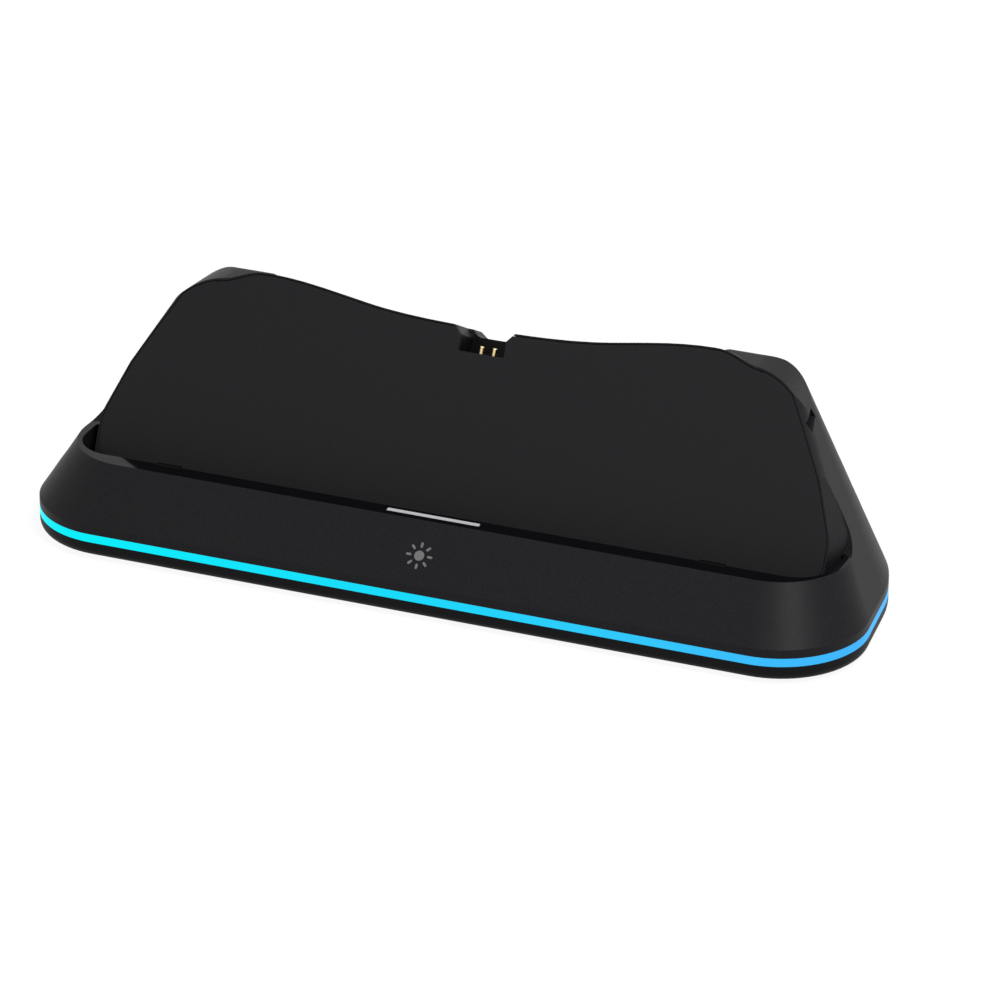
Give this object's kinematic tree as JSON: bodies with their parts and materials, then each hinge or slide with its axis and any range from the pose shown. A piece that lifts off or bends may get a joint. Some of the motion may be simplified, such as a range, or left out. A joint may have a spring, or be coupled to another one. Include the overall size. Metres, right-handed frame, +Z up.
{
  "type": "handheld console charging dock",
  "caption": "Desktop charging dock with a sloped base, a trough for the console's lower edge, a leaning panel with spring contacts in a notch, and a light ring.",
  "frame": {"origin": "centre of the footprint, on the table under the feet", "axes": "+X to the right along the dock's length as seen from the front, +Y to the back, +Z up"},
  "size_m": [0.221, 0.081, 0.0637],
  "materials": {
    "housing": "fine-grained moulded plastic, satin",
    "panel": "very matte, soft to the touch",
    "white_light": "milky light guide",
    "print": "grey pad print",
    "copper": "copper foil",
    "ring": "milky light guide, lit cyan to blue",
    "cover": "moulded plastic, satin",
    "rubber": "soft rubber",
    "steel": "bare steel",
    "board": "lacquered board",
    "chip": "moulded chips",
    "tongue": "black plastic with contacts",
    "led": "white housing with clear lens",
    "grey_lead": "grey insulated ribbon lead",
    "red_lead": "red insulated lead",
    "black_lead": "black insulated lead",
    "block": "black plastic",
    "gold": "gold-plated brass",
    "spring": "spring wire"
  },
  "bodies": {
    "base": {"upper_housing": "housing", "front_panel": "panel", "status_light": "white_light", "touch_icon": "print", "touch_pad": "copper", "light_ring": "ring", "bottom_cover": "cover", "foot_front_left": "rubber", "foot_front_right": "rubber", "foot_back_left": "rubber", "foot_back_right": "rubber", "case_screws": "steel", "board_screws": "steel", "main_board": "board", "led_board": "board", "contact_board": "board", "board_chips": "chip", "usb_shell": "steel", "usb_tongue": "tongue", "ring_leds": "led", "status_led": "led", "led_lead": "grey_lead", "lead_positive": "red_lead", "lead_negative": "black_lead", "contact_block": "block", "pin_barrel_left": "gold", "pin_barrel_right": "gold", "pin_spring_left": "spring", "pin_spring_right": "spring"},
    "pin_left": {"contact_pin_left": "gold"},
    "pin_right": {"contact_pin_right": "gold"}
  },
  "joints": [
    {"name": "pin_left_press", "type": "slide", "parent": "base", "child": "pin_left", "axis": [0, -0.4772, -0.8788], "range_m": [0, 0.0012], "stiffness_N_per_m": 600, "springref_m": -0.0008, "deforming": ["pin_spring_left"]},
    {"name": "pin_right_press", "type": "slide", "parent": "base", "child": "pin_right", "axis": [0, -0.4772, -0.8788], "range_m": [0, 0.0012], "stiffness_N_per_m": 600, "springref_m": -0.0008, "deforming": ["pin_spring_right"]}
  ]
}
